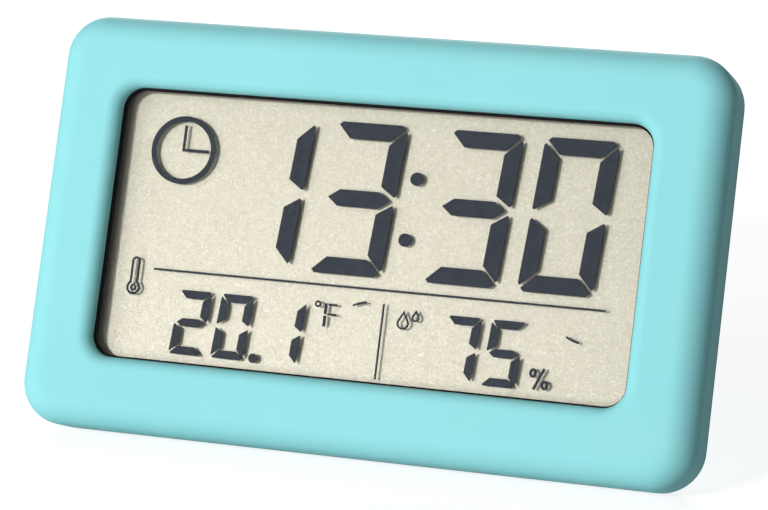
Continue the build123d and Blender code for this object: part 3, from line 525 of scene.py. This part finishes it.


# reflector film: colour = warm grey between two tones by the cells' own tone and fine noise, with rare
# bright grains that are a painted glint of the foil; roughness = its own level, a little different in each
# cell; relief = the same tone
def reflectorFilm(name, look):
    material, tree, surface, vector = startMaterial(name, look)
    grains = addPattern(tree, "ShaderNodeTexVoronoi", vector, {"Scale": look["grain"]}, feature="F1")
    split = tree.nodes.new("ShaderNodeSeparateColor")
    tree.links.new(grains.outputs["Color"], split.inputs[0])
    cloud = addPattern(tree, "ShaderNodeTexNoise", vector, look["cloud"])
    shade = weighedSum(tree, split.outputs[0], look["cellShare"], cloud.outputs[0], look["cloudShare"])
    color = mixColor(tree, rangeNode(tree, shade, look["shadeRange"]), look["deep"], look["pale"])
    # the rare bright grains are a painted glint: colour made brighter, not light reflected
    spark = mathNode(tree, "GREATER_THAN", split.outputs[1], look["sparkAbove"])
    color = mixColor(tree, mathNode(tree, "MULTIPLY", spark, look["sparkShare"]), color, look["spark"])
    tree.links.new(color, surface.inputs["Base Color"])
    rough = rangeNode(tree, split.outputs[2], (0.0, 1.0), look["cellRoughness"])
    tree.links.new(rough, surface.inputs["Roughness"])
    addBump(tree, surface, shade, look["relief"], look["reliefDepth"])
    return material


filmLook = {
    "pale": (0.420, 0.401, 0.320),
    "deep": (0.352, 0.332, 0.257),
    "spark": (0.58, 0.56, 0.48),
    "sparkAbove": 0.93,
    "sparkShare": 0.4,
    "grain": 5200.0,
    "cloud": {"Scale": 2600.0, "Detail": 2.0},
    "cellShare": 0.5,
    "cloudShare": 0.5,
    "shadeRange": (0.25, 0.75),
    "roughness": 0.43,
    "cellRoughness": (0.40, 0.48),
    "relief": 0.05,
    "reliefDepth": 0.00001,
    "plain": {"Metallic": 0.27},
}


# clouded surface: colour = one tone blended into another by noise, over the noise's spread where the look
# has one; roughness and relief, where the look gives their limits, follow the same noise
def cloudedSurface(name, look):
    material, tree, surface, vector = startMaterial(name, look)
    clouds = addPattern(tree, "ShaderNodeTexNoise", vector, look["clouds"]).outputs[0]
    factor = rangeNode(tree, clouds, look["spread"]) if "spread" in look else clouds
    tree.links.new(mixColor(tree, factor, look["dark"], look["pale"]), surface.inputs["Base Color"])
    if "gloss" in look:
        rough = rangeNode(tree, clouds, look["glossRange"], look["gloss"])
        tree.links.new(rough, surface.inputs["Roughness"])
    if "relief" in look:
        addBump(tree, surface, clouds, look["relief"], look["reliefDepth"])
    return material


segmentLook = {
    "dark": (0.028, 0.033, 0.046),
    "pale": (0.036, 0.042, 0.056),
    "clouds": {"Scale": 700.0, "Detail": 3.0},
    "spread": (0.3, 0.7),
    "roughness": 0.55,
    "plain": {"Specular IOR Level": 0.05},
}
glueLook = {
    "dark": (0.05, 0.05, 0.04),
    "pale": (0.12, 0.12, 0.10),
    "clouds": {"Scale": 1500.0, "Detail": 3.0},
    "roughness": 0.3,
    "relief": 0.4,
    "reliefDepth": 0.00005,
}
resinLook = {
    "dark": (0.008, 0.008, 0.009),
    "pale": (0.03, 0.03, 0.03),
    "clouds": {"Scale": 420.0, "Detail": 4.0},
    "roughness": 0.25,
    "gloss": (0.16, 0.34),
    "glossRange": (0.3, 0.7),
    "relief": 0.3,
    "reliefDepth": 0.00008,
}
ceramicLook = {
    "dark": (0.20, 0.13, 0.08),
    "pale": (0.34, 0.25, 0.17),
    "clouds": {"Scale": 2600.0, "Detail": 3.0},
    "roughness": 0.45,
    "relief": 0.3,
    "reliefDepth": 0.00003,
}


# foam: colour and relief = distance within open pores, near black; the colour darkens towards each pore's
# middle, which is painted shade in the pores
def blackFoam(name, look):
    material, tree, surface, vector = startMaterial(name, look)
    pores = addPattern(tree, "ShaderNodeTexVoronoi", vector, {"Scale": look["pores"]}, feature="F1")
    # darker at the pores' middles, where the relief is lowest: painted shade in the pores
    color = mixColor(tree, pores.outputs["Distance"], look["dark"], look["pale"])
    tree.links.new(color, surface.inputs["Base Color"])
    addBump(tree, surface, pores.outputs["Distance"], look["relief"], look["reliefDepth"])
    return material


foamLook = {
    "dark": (0.004, 0.003, 0.004),
    "pale": (0.014, 0.009, 0.012),
    "pores": 4200.0,
    "roughness": 0.95,
    "relief": 0.6,
    "reliefDepth": 0.00006,
    "plain": {"Specular IOR Level": 0.05},
}


# striped rubber: colour = pale or black layer, by which half of a wave along x a point lies in
def stripedRubber(name, look):
    material, tree, surface, vector = startMaterial(name, look)
    bands = {"wave_type": "BANDS", "bands_direction": "X"}
    wave = addPattern(tree, "ShaderNodeTexWave", vector, look["wave"], **bands)
    dark = mathNode(tree, "GREATER_THAN", wave.outputs["Fac"], look["darkAbove"])
    tree.links.new(mixColor(tree, dark, look["pale"], look["dark"]), surface.inputs["Base Color"])
    return material


stripeLook = {
    "pale": (0.68, 0.66, 0.64),
    "dark": (0.03, 0.03, 0.03),
    "wave": {"Scale": 3200.0, "Distortion": 0.3, "Detail": 1.0},
    "darkAbove": 0.5,
    "roughness": 0.6,
}


# lacquered board: colour = green lacquer, paler where a brick pattern lays out raised tracks, and tinned
# metal in round spots about a cell pattern's points; relief = the tracks
def boardLacquer(name, look):
    material, tree, surface, vector = startMaterial(name, look)
    ontoBoard = (stance["lean"] + math.pi / 2, 0, 0)
    turn = addPattern(tree, "ShaderNodeMapping", vector, {"Rotation": ontoBoard})
    tracks = addPattern(tree, "ShaderNodeTexBrick", turn.outputs[0], look["tracks"], offset=look["stagger"])
    pads = addPattern(tree, "ShaderNodeTexVoronoi", vector, {"Scale": look["pads"]}, feature="F1")
    spot = mathNode(tree, "LESS_THAN", pads.outputs["Distance"], look["padSize"])
    lacquer = mixColor(tree, tracks.outputs["Fac"], look["green"], look["track"])
    tree.links.new(mixColor(tree, spot, lacquer, look["tin"]), surface.inputs["Base Color"])
    tree.links.new(spot, surface.inputs["Metallic"])
    addBump(tree, surface, tracks.outputs["Fac"], look["relief"], look["reliefDepth"])
    return material


boardLook = {
    "green": (0.012, 0.125, 0.045),
    "track": (0.035, 0.25, 0.095),
    "tin": (0.62, 0.60, 0.55),
    "tracks": {
        "Scale": 420.0,
        "Mortar Size": 0.09,
        "Brick Width": 1.7,
        "Row Height": 0.42,
        "Mortar Smooth": 0.15,
    },
    "stagger": 0.37,
    "pads": 260.0,
    "padSize": 0.13,
    "roughness": 0.32,
    "relief": 0.5,
    "reliefDepth": 0.00004,
}


# plated steel: colour and roughness wander along brushed lines, which are the relief too
def platedSteel(name, look):
    material, tree, surface, vector = startMaterial(name, look)
    brushed = placeGroup(tree, brushedLines, vector, {"Lines": look["lines"]})
    shine = brushed.outputs["Shine"]
    tree.links.new(mixColor(tree, shine, look["color"], look["worn"]), surface.inputs["Base Color"])
    limits = (look["roughness"] - look["smoother"], look["roughness"] + look["duller"])
    tree.links.new(rangeNode(tree, shine, look["shineRange"], limits), surface.inputs["Roughness"])
    addBump(tree, surface, brushed.outputs["Height"], look["relief"], look["reliefDepth"])
    return material


steelLook = {
    "color": (0.62, 0.62, 0.61),
    "worn": (0.74, 0.73, 0.71),
    "roughness": 0.26,
    "smoother": 0.08,
    "duller": 0.1,
    "shineRange": (0.3, 0.7),
    "lines": 9000.0,
    "relief": 0.15,
    "reliefDepth": 0.00002,
    "plain": {"Metallic": 1.0},
}
contactLook = dict(
    steelLook,
    color=(0.66, 0.64, 0.60),
    worn=(0.78, 0.76, 0.72),
    roughness=0.32,
    lines=7000.0,
)

# one finish for each material slot of the frame
finishes = {
    "turquoise_shell": mouldedPlastic("turquoiseShell", shellLook),
    "turquoise_detail": mouldedPlastic("turquoiseDetail", detailLook),
    "clear_window": clearSheet("clearWindow", windowLook),
    "black_foam": blackFoam("blackFoam", foamLook),
    "polariser_film": clearSheet("polariserFilm", polariserLook),
    "display_glass": clearSheet("displayGlass", glassLook),
    "seal_glue": cloudedSurface("sealGlue", glueLook),
    "lit_segments": cloudedSurface("darkSegment", segmentLook),
    "silver_reflector": reflectorFilm("reflectorFilm", filmLook),
    "striped_rubber": stripedRubber("stripedRubber", stripeLook),
    "board_laminate": boardLacquer("boardLacquer", boardLook),
    "chip_resin": cloudedSurface("pouredResin", resinLook),
    "part_body": cloudedSurface("ceramicChip", ceramicLook),
    "switch_body": mouldedPlastic("blackHousing", housingLook),
    "switch_plunger": mouldedPlastic("redPlunger", plungerLook),
    "sensor_body": mouldedPlastic("whiteSensor", sensorLook),
    "bead_glass": cloudedSurface("beadGlaze", resinLook),
    "bright_steel": platedSteel("brightSteel", steelLook),
    "contact_steel": platedSteel("contactSteel", contactLook),
}
print("stage: materials made,", len(finishes))

# every node of the frame takes the finish of its slot
slotOf = {entry["node"]: entry["material_slot"] for entry in frame["record"]["subparts"]}
for name, slotName in slotOf.items():
    node = cadNodes[name]
    node.data.materials.clear()
    node.data.materials.append(finishes[slotName])

# the moulded front shell: lengths are in metres, and the counts say how finely each stretch of its section
# is divided
frontShell = {
    "cornerRadius": 0.006,
    "edgeRadius": 0.004,
    "windowRadius": 0.0031,
    "lipRadius": 0.0018,
    "lipLand": 0.00004,             # how far the window's edge stays in front of the inner face
    "wall": 0.0018,
    "frontWall": 0.002,
    "innerRadius": 0.0022,
    "smallestCorner": 0.0004,
    "seamDepth": 0.009,
    "groove": 0.00015,              # the fine step in front of the seam
    "edgeBreak": 0.00006,
    "counts": {"side": 9, "edge": 22, "face": 12, "lip": 14, "back": 8, "inner": 10, "wall": 6},
}


def frontShellPiece(size, counts):
    # a closed section of (inset, depth) points carried round rounded rectangles: on the outside their
    # corner radius shrinks with the inset, and towards the window it blends into the window's own
    groove, seam, broken = size["groove"], size["seamDepth"], size["edgeBreak"]
    edge, inner, lip = size["edgeRadius"], size["innerRadius"], size["lipRadius"]
    wall, frontWall, window = size["wall"], size["frontWall"], caseSize["frameWidth"]
    section = np.concatenate(
        [
            [(groove, seam), (groove, seam - groove), (broken, seam - groove)],
            np.linspace((0, seam - groove - broken), (0, edge), counts["side"]),
            arcRun((edge, edge), edge, 180, 270, counts["edge"]),
            np.linspace((edge, 0), (window - lip, 0), counts["face"])[1:],
            arcRun((window - lip, lip), lip, 270, 360, counts["lip"]),
            [(window, frontWall - size["lipLand"])],
            np.linspace((window, frontWall), (wall + inner, frontWall), counts["back"]),
            arcRun((wall + inner, frontWall + inner), inner, 270, 180, counts["inner"]),
            np.linspace((wall, frontWall + inner), (wall, seam), counts["wall"])[1:],
        ]
    )
    inset, depth = section[:, 0], section[:, 1]
    outerRadius = np.maximum(size["cornerRadius"] - inset, size["smallestCorner"])
    windowRadius = size["windowRadius"] + (window - inset)
    blend = np.clip((inset - edge) / (window - lip - edge), 0, 1)
    radius = outerRadius * (1 - blend) + windowRadius * blend
    rings = roundedRings(halfWidth - inset, halfHeight - inset, radius)
    return ringPiece("front_shell", rings, depth, halfHeight)


shell = frontShellPiece(frontShell, frontShell["counts"])
flattenFaces(shell)
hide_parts("front_bezel")
dress(shell, "case", finishes["turquoise_shell"])

# the shell's screw posts: four at the corners for the case, four beside the display for the board
posts = {
    "radius": 0.0023,
    "bore": 0.00103,
    "foot": 0.002,
    "boreEnd": 0.0036,
    "boreTip": 0.0034,
    "edgeBreak": 0.0001,
    "mouth": 0.0002,                # how much the bore widens at its mouth
    "caseInset": 0.0055,
    "caseDepth": 0.009,
    "boardSide": 0.043,
    "boardLevels": (0.012, 0.0381),
    "boardDepth": 0.0066,
    "steps": 32,
}


def postProfile(size, top):
    # (radius, depth) points: up the outside, over the broken edge, in at the widened mouth, down the bore
    r, b, broken, mouth = size["radius"], size["bore"], size["edgeBreak"], size["mouth"]
    outside = [(r, size["foot"]), (r, top - broken), (r - broken, top)]
    return outside + [(b + mouth, top), (b, top - mouth), (b, size["boreEnd"]), (0.0, size["boreTip"])]


caseLevels = (posts["caseInset"], caseSize["height"] - posts["caseInset"])
postRows = [
    (halfWidth - posts["caseInset"], caseLevels, posts["caseDepth"]),
    (posts["boardSide"], posts["boardLevels"], posts["boardDepth"]),
]
postPlaces = [(side * x, z, top) for x, levels, top in postRows for side in (-1, 1) for z in levels]
for number, (x, z, top) in enumerate(postPlaces):
    post = turnedPiece("screw_post_" + str(number + 1), (x, z), postProfile(posts, top), posts["steps"])
    dress(post, "case", finishes["turquoise_shell"])

# the rib that holds the display glass
rib = {
    "halfWide": 0.03975,
    "low": 0.00585,
    "high": 0.04965,
    "thick": 0.001,
    "front": 0.002,
    "back": 0.00465,
    "radius": 0.0008,
    "cornerSteps": 6,
    "sideSteps": 8,
}


def ribPiece(size):
    # a rectangular section (growth, depth) carried round the display glass's outline
    growth = np.array([0, 0, size["thick"], size["thick"]])
    depth = np.array([size["front"], size["back"], size["back"], size["front"]])
    halfHigh = (size["high"] - size["low"]) / 2
    outline = (size["halfWide"] + growth, halfHigh + growth, size["radius"] + growth)
    rings = roundedRings(*outline, size["cornerSteps"], size["sideSteps"])
    return ringPiece("glass_rib", rings, depth, (size["low"] + size["high"]) / 2)


dress(ribPiece(rib), "case", finishes["turquoise_shell"])
print("stage: front shell made")

# the dark surround of the display: partly the real foam gasket and partly painted shade, as its inner edge
# is set in to show a dark band inside the window where the lip's shadow and the shaded side wall fall
surround = {
    "inset": 0.0003,                # how far its inner edge shows inside the case's window
    "reach": 0.0014,
    "front": 0.0026,
    "back": 0.0029,
    "radius": 0.0028,
    "soft": 0.00006,
}


def surroundPiece(size):
    # a flat ring: its inner outline is the case's window less the inset, its outer one is grown by
    # the reach, and the section's inner corners are slightly broken
    soft, front, back = size["soft"], size["front"], size["back"]
    growth = np.array([0, soft, size["reach"], size["reach"], soft, 0])
    depth = np.array([front + soft, front, front, back, back, back - soft])
    halfWide = halfWidth - caseSize["frameWidth"] - size["inset"] + growth
    halfHigh = halfHeight - caseSize["frameWidth"] - size["inset"] + growth
    rings = roundedRings(halfWide, halfHigh, size["radius"] + growth)
    return ringPiece("dark_surround", rings, depth, halfHeight)


# its near black edge inside the window is painted shade along the window's edge
darkSurround = surroundPiece(surround)
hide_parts("display_gasket")
dress(darkSurround, "case", finishes["black_foam"])
print("stage: display surround made")

# In the frame the clear layers touch their neighbours. Here each is a hair thinner on both sides,
# so that no two faces share a plane.
clearLayers = {
    "hair": 0.000012,
    "sheets": {
        "window_lens": "window_sheet",
        "lcd_front_polariser": "front_polariser_sheet",
        "lcd_front_glass": "front_glass_sheet",
        "lcd_rear_glass": "rear_glass_sheet",
        "lcd_rear_polariser": "rear_polariser_sheet",
    },
}


def thinnedCopy(node, name, hair):
    # every point moves towards the sheet's middle plane:
    # depth = middle + (depth - middle) (1 - 2 hair / thickness)
    piece = softCopy(node, name, 0)
    points = np.empty(len(piece.data.vertices) * 3)
    piece.data.vertices.foreach_get("co", points)
    points = points.reshape(-1, 3)
    rearward = np.array([0, leanCos, -leanSin])
    depth = points @ rearward
    middle, thickness = (depth.max() + depth.min()) / 2, depth.max() - depth.min()
    points -= ((depth - middle) * 2 * hair / thickness)[:, None] * rearward
    piece.data.vertices.foreach_set("co", points.ravel())
    piece.data.update()
    return piece


for node, name in clearLayers["sheets"].items():
    dress(thinnedCopy(node, name, clearLayers["hair"]), "case", finishes[slotOf[node]])
print("stage: clear layers made")

# pieces seen from behind: the node's new name, body, slot and the width of its rounded edges
softEdges = {
    "rear_cover": ("rear_cover_soft", "case", "turquoise_shell", 0.00010),
    "battery_door": ("battery_door_soft", "door", "turquoise_detail", 0.00012),
    "stand_leg": ("stand_leg_soft", "leg", "turquoise_detail", 0.00025),
    "set_button_cap": ("set_button_soft", "set_button", "turquoise_detail", 0.00010),
    "up_button_cap": ("up_button_soft", "up_button", "turquoise_detail", 0.00010),
    "unit_button_cap": ("unit_button_soft", "unit_button", "turquoise_detail", 0.00010),
    "case_screws": ("case_screws_soft", "case", "bright_steel", 0.00006),
    "coin_cell": ("coin_cell_soft", "case", "bright_steel", 0.00008),
}
for node, (name, body, slotName, edge) in softEdges.items():
    dress(softCopy(node, name, edge), body, finishes[slotName])
print("stage: rear pieces softened,", len(softEdges))

# floor and world: both look white to camera, glossy and transmission rays, and stay dimmer as light
# on the object
stageLook = {"floor": 0.50, "whiteLift": 0.76, "ambient": 0.12, "halfFloor": 3.0, "roughness": 0.9}


def seenDirectly(tree):
    # 1 for camera, glossy and transmission rays, else 0
    path = tree.nodes.new("ShaderNodeLightPath")
    seen = mathNode(tree, "MAXIMUM", path.outputs["Is Camera Ray"], path.outputs["Is Glossy Ray"])
    return mathNode(tree, "MAXIMUM", seen, path.outputs["Is Transmission Ray"])


def floorMaterial(look):
    # a pale floor that keeps the shadow: colour = its level, with a lift towards white where it is seen
    material = bpy.data.materials.new("paleFloor")
    material.use_nodes = True
    tree = material.node_tree
    tree.nodes.clear()
    output = tree.nodes.new("ShaderNodeOutputMaterial")
    level = look["floor"]
    values = {
        "Roughness": look["roughness"],
        "Specular IOR Level": 0.0,
        "Base Color": (level, level, level, 1),
        "Emission Color": (1, 1, 1, 1),
    }
    surface = addNode(tree, "ShaderNodeBsdfPrincipled", values)
    lift = mathNode(tree, "MULTIPLY", seenDirectly(tree), look["whiteLift"])
    tree.links.new(lift, surface.inputs["Emission Strength"])
    tree.links.new(surface.outputs[0], output.inputs["Surface"])
    return material


half = stageLook["halfFloor"]
floorMesh = bpy.data.meshes.new("floor")
floorCorners = [(-half, -half, 0), (half, -half, 0), (half, half, 0), (-half, half, 0)]
floorMesh.from_pydata(floorCorners, [], [(0, 1, 2, 3)])
floorPlane = bpy.data.objects.new("floor", floorMesh)
scene.collection.objects.link(floorPlane)
floorPlane.data.materials.append(floorMaterial(stageLook))

world = bpy.data.worlds.new("studio")
world.use_nodes = True
scene.world = world
sky = world.node_tree
sky.nodes.clear()
skyOut = sky.nodes.new("ShaderNodeOutputWorld")
skyDim = addNode(sky, "ShaderNodeBackground", {"Color": (1, 1, 1, 1), "Strength": stageLook["ambient"]})
skyWhite = addNode(sky, "ShaderNodeBackground", {"Color": (1, 1, 1, 1), "Strength": 1.0})
skyMix = sky.nodes.new("ShaderNodeMixShader")
sky.links.new(seenDirectly(sky), skyMix.inputs[0])
sky.links.new(skyDim.outputs[0], skyMix.inputs[1])
sky.links.new(skyWhite.outputs[0], skyMix.inputs[2])
sky.links.new(skyMix.outputs[0], skyOut.inputs["Surface"])

# lamps are placed by direction from the middle of the front face, with the level that each adds
# to a white surface facing it
faceMiddle = Vector((0, -0.005697, 0.030465))
lamps = {
    "keyLeft": {"angleLeft": 20.0, "angleUp": 0.0, "distance": 1.5, "size": (0.16, 0.16), "level": 0.50},
    "lowFront": {"angleLeft": 3.0, "angleUp": -18.0, "distance": 1.5, "size": (0.5, 0.3), "level": 0.23},
    "lowLeft": {"angleLeft": 42.0, "angleUp": -16.0, "distance": 0.9, "size": (0.7, 0.16), "level": 0.38},
    "softLeft": {"angleLeft": 40.0, "angleUp": 14.0, "distance": 1.3, "size": (0.5, 0.5), "level": 0.14},
    "behind": {"angleLeft": 160.0, "angleUp": 42.0, "distance": 1.3, "size": (0.7, 0.5), "level": 0.54},
}


def addLamp(name, look):
    # direction = front normal turned to the left by one angle and up by the other;
    # energy = level pi^2 distance^2, so that a white surface at that distance shows the level
    left, up = math.radians(look["angleLeft"]), math.radians(look["angleUp"])
    normal, across, rise = Vector((0, -leanCos, leanSin)), Vector((-1, 0, 0)), Vector((0, leanSin, leanCos))
    direction = (normal * math.cos(left) + across * math.sin(left)) * math.cos(up) + rise * math.sin(up)
    data = bpy.data.lights.new(name, "AREA")
    data.shape = "RECTANGLE"
    data.size, data.size_y = look["size"]
    data.energy = look["level"] * math.pi ** 2 * look["distance"] ** 2
    lamp = bpy.data.objects.new(name, data)
    scene.collection.objects.link(lamp)
    lamp.location = faceMiddle + direction * look["distance"]
    lamp.rotation_euler = direction.to_track_quat("Z", "Y").to_euler()


for lampName, lampLook in lamps.items():
    addLamp(lampName, lampLook)

camera = {
    "azimuth": 18.7255,
    "elevation": 15.177,
    "distance": 0.401161,
    "lens": 139.41,
    "sensor": 36.0,
    "shiftX": 0.0277,
    "shiftY": -0.0184,
    "nearest": 0.01,
    "clearBounces": 24,             # a look through the window crosses ten clear surfaces
}
cameraData = bpy.data.cameras.new("viewpoint")
cameraData.lens = camera["lens"]
cameraData.sensor_width = camera["sensor"]
cameraData.sensor_fit = "HORIZONTAL"
cameraData.shift_x = camera["shiftX"]
cameraData.shift_y = camera["shiftY"]
cameraData.clip_start = camera["nearest"]
azimuth, elevation = math.radians(camera["azimuth"]), math.radians(camera["elevation"])
level = math.cos(elevation)
toCamera = Vector((math.sin(azimuth) * level, -math.cos(azimuth) * level, math.sin(elevation)))
viewpoint = bpy.data.objects.new("viewpoint", cameraData)
scene.collection.objects.link(viewpoint)
viewpoint.location = faceMiddle + toCamera * camera["distance"]
viewpoint.rotation_euler = toCamera.to_track_quat("Z", "Y").to_euler()
scene.camera = viewpoint
scene.view_settings.view_transform = "Standard"
scene.cycles.transparent_max_bounces = camera["clearBounces"]
print("stage: floor, light and camera set")
